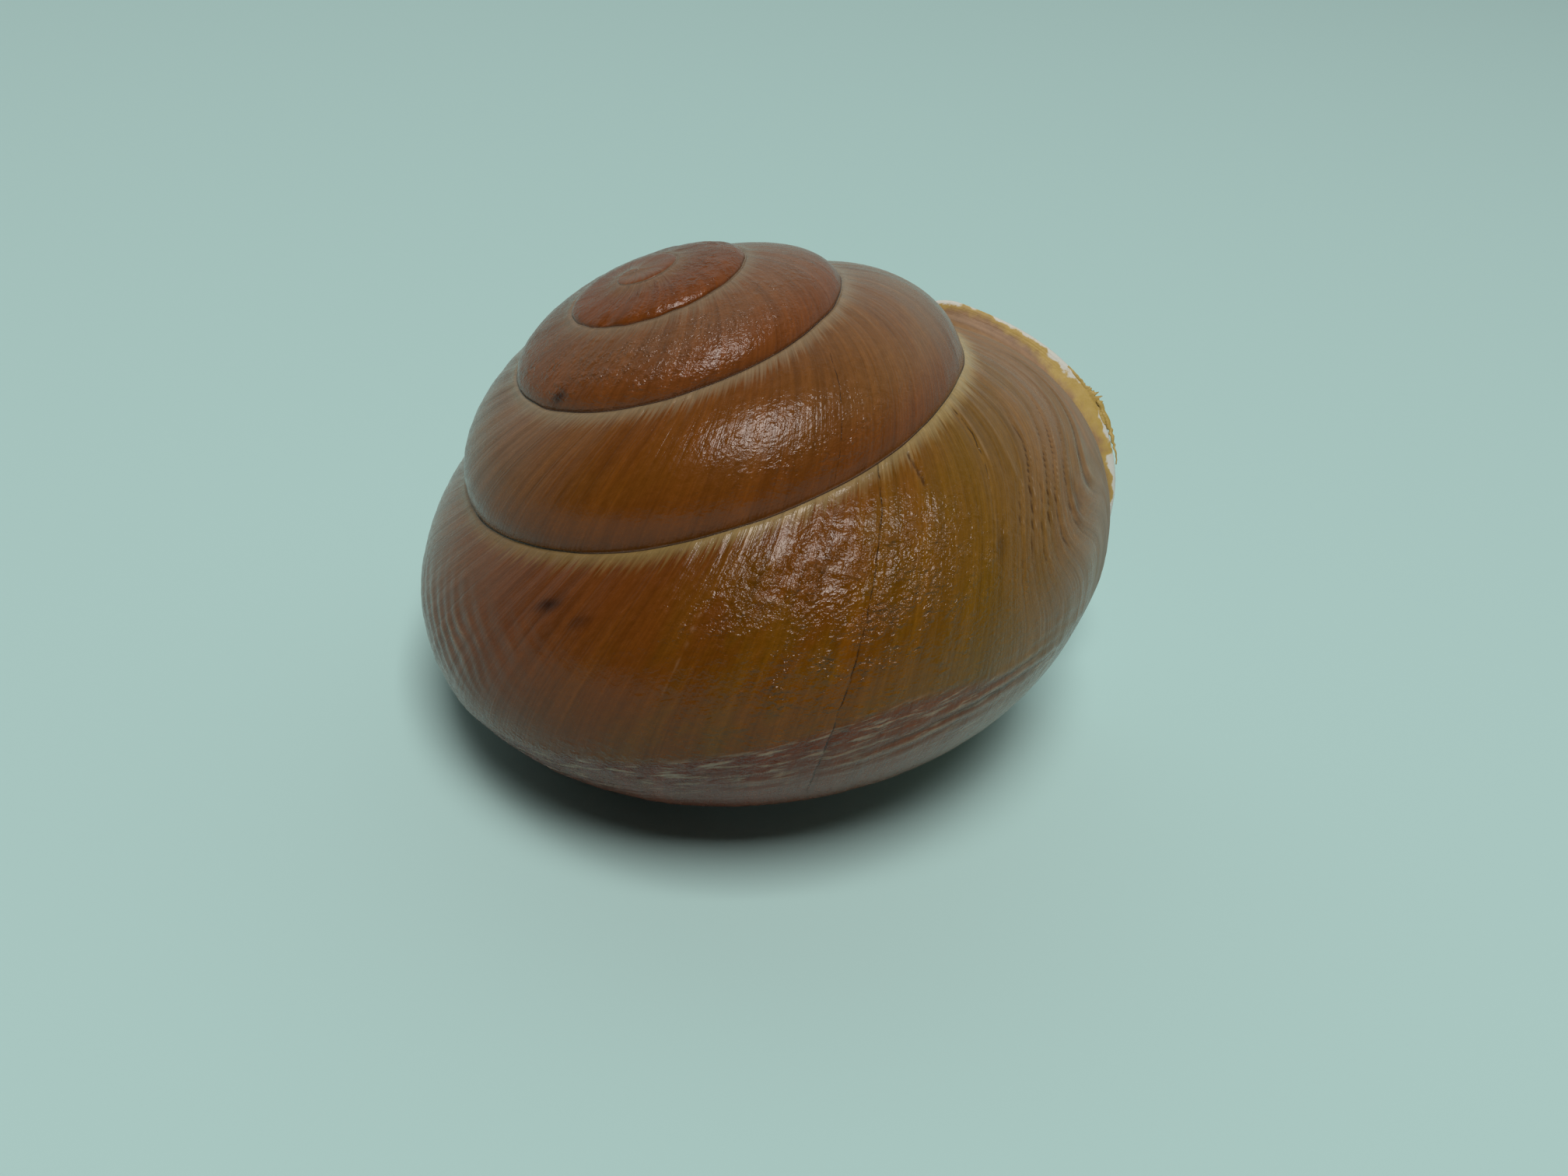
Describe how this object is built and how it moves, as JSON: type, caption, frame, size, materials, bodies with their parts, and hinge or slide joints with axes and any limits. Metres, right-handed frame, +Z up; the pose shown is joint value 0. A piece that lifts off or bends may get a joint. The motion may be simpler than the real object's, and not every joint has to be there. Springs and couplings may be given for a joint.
{
  "type": "land snail shell",
  "caption": "Low domed, left-handed land snail shell with a rounded last turn and a turned-out white lip, lying on its underside and lip.",
  "frame": {"origin": "on the surface that the shell lies on, under the middle of its bounding box", "axes": "+Z up, +X along the shell's longest side, towards the lip's end, +Y away from the viewer and out of the mouth"},
  "size_m": [0.0484, 0.0424, 0.034],
  "materials": {
    "shell": "thin satin horn-brown skin over chalky shell, with a pinkish white lip and inside"
  },
  "bodies": {
    "root": {"shell": "shell"}
  },
  "joints": []
}
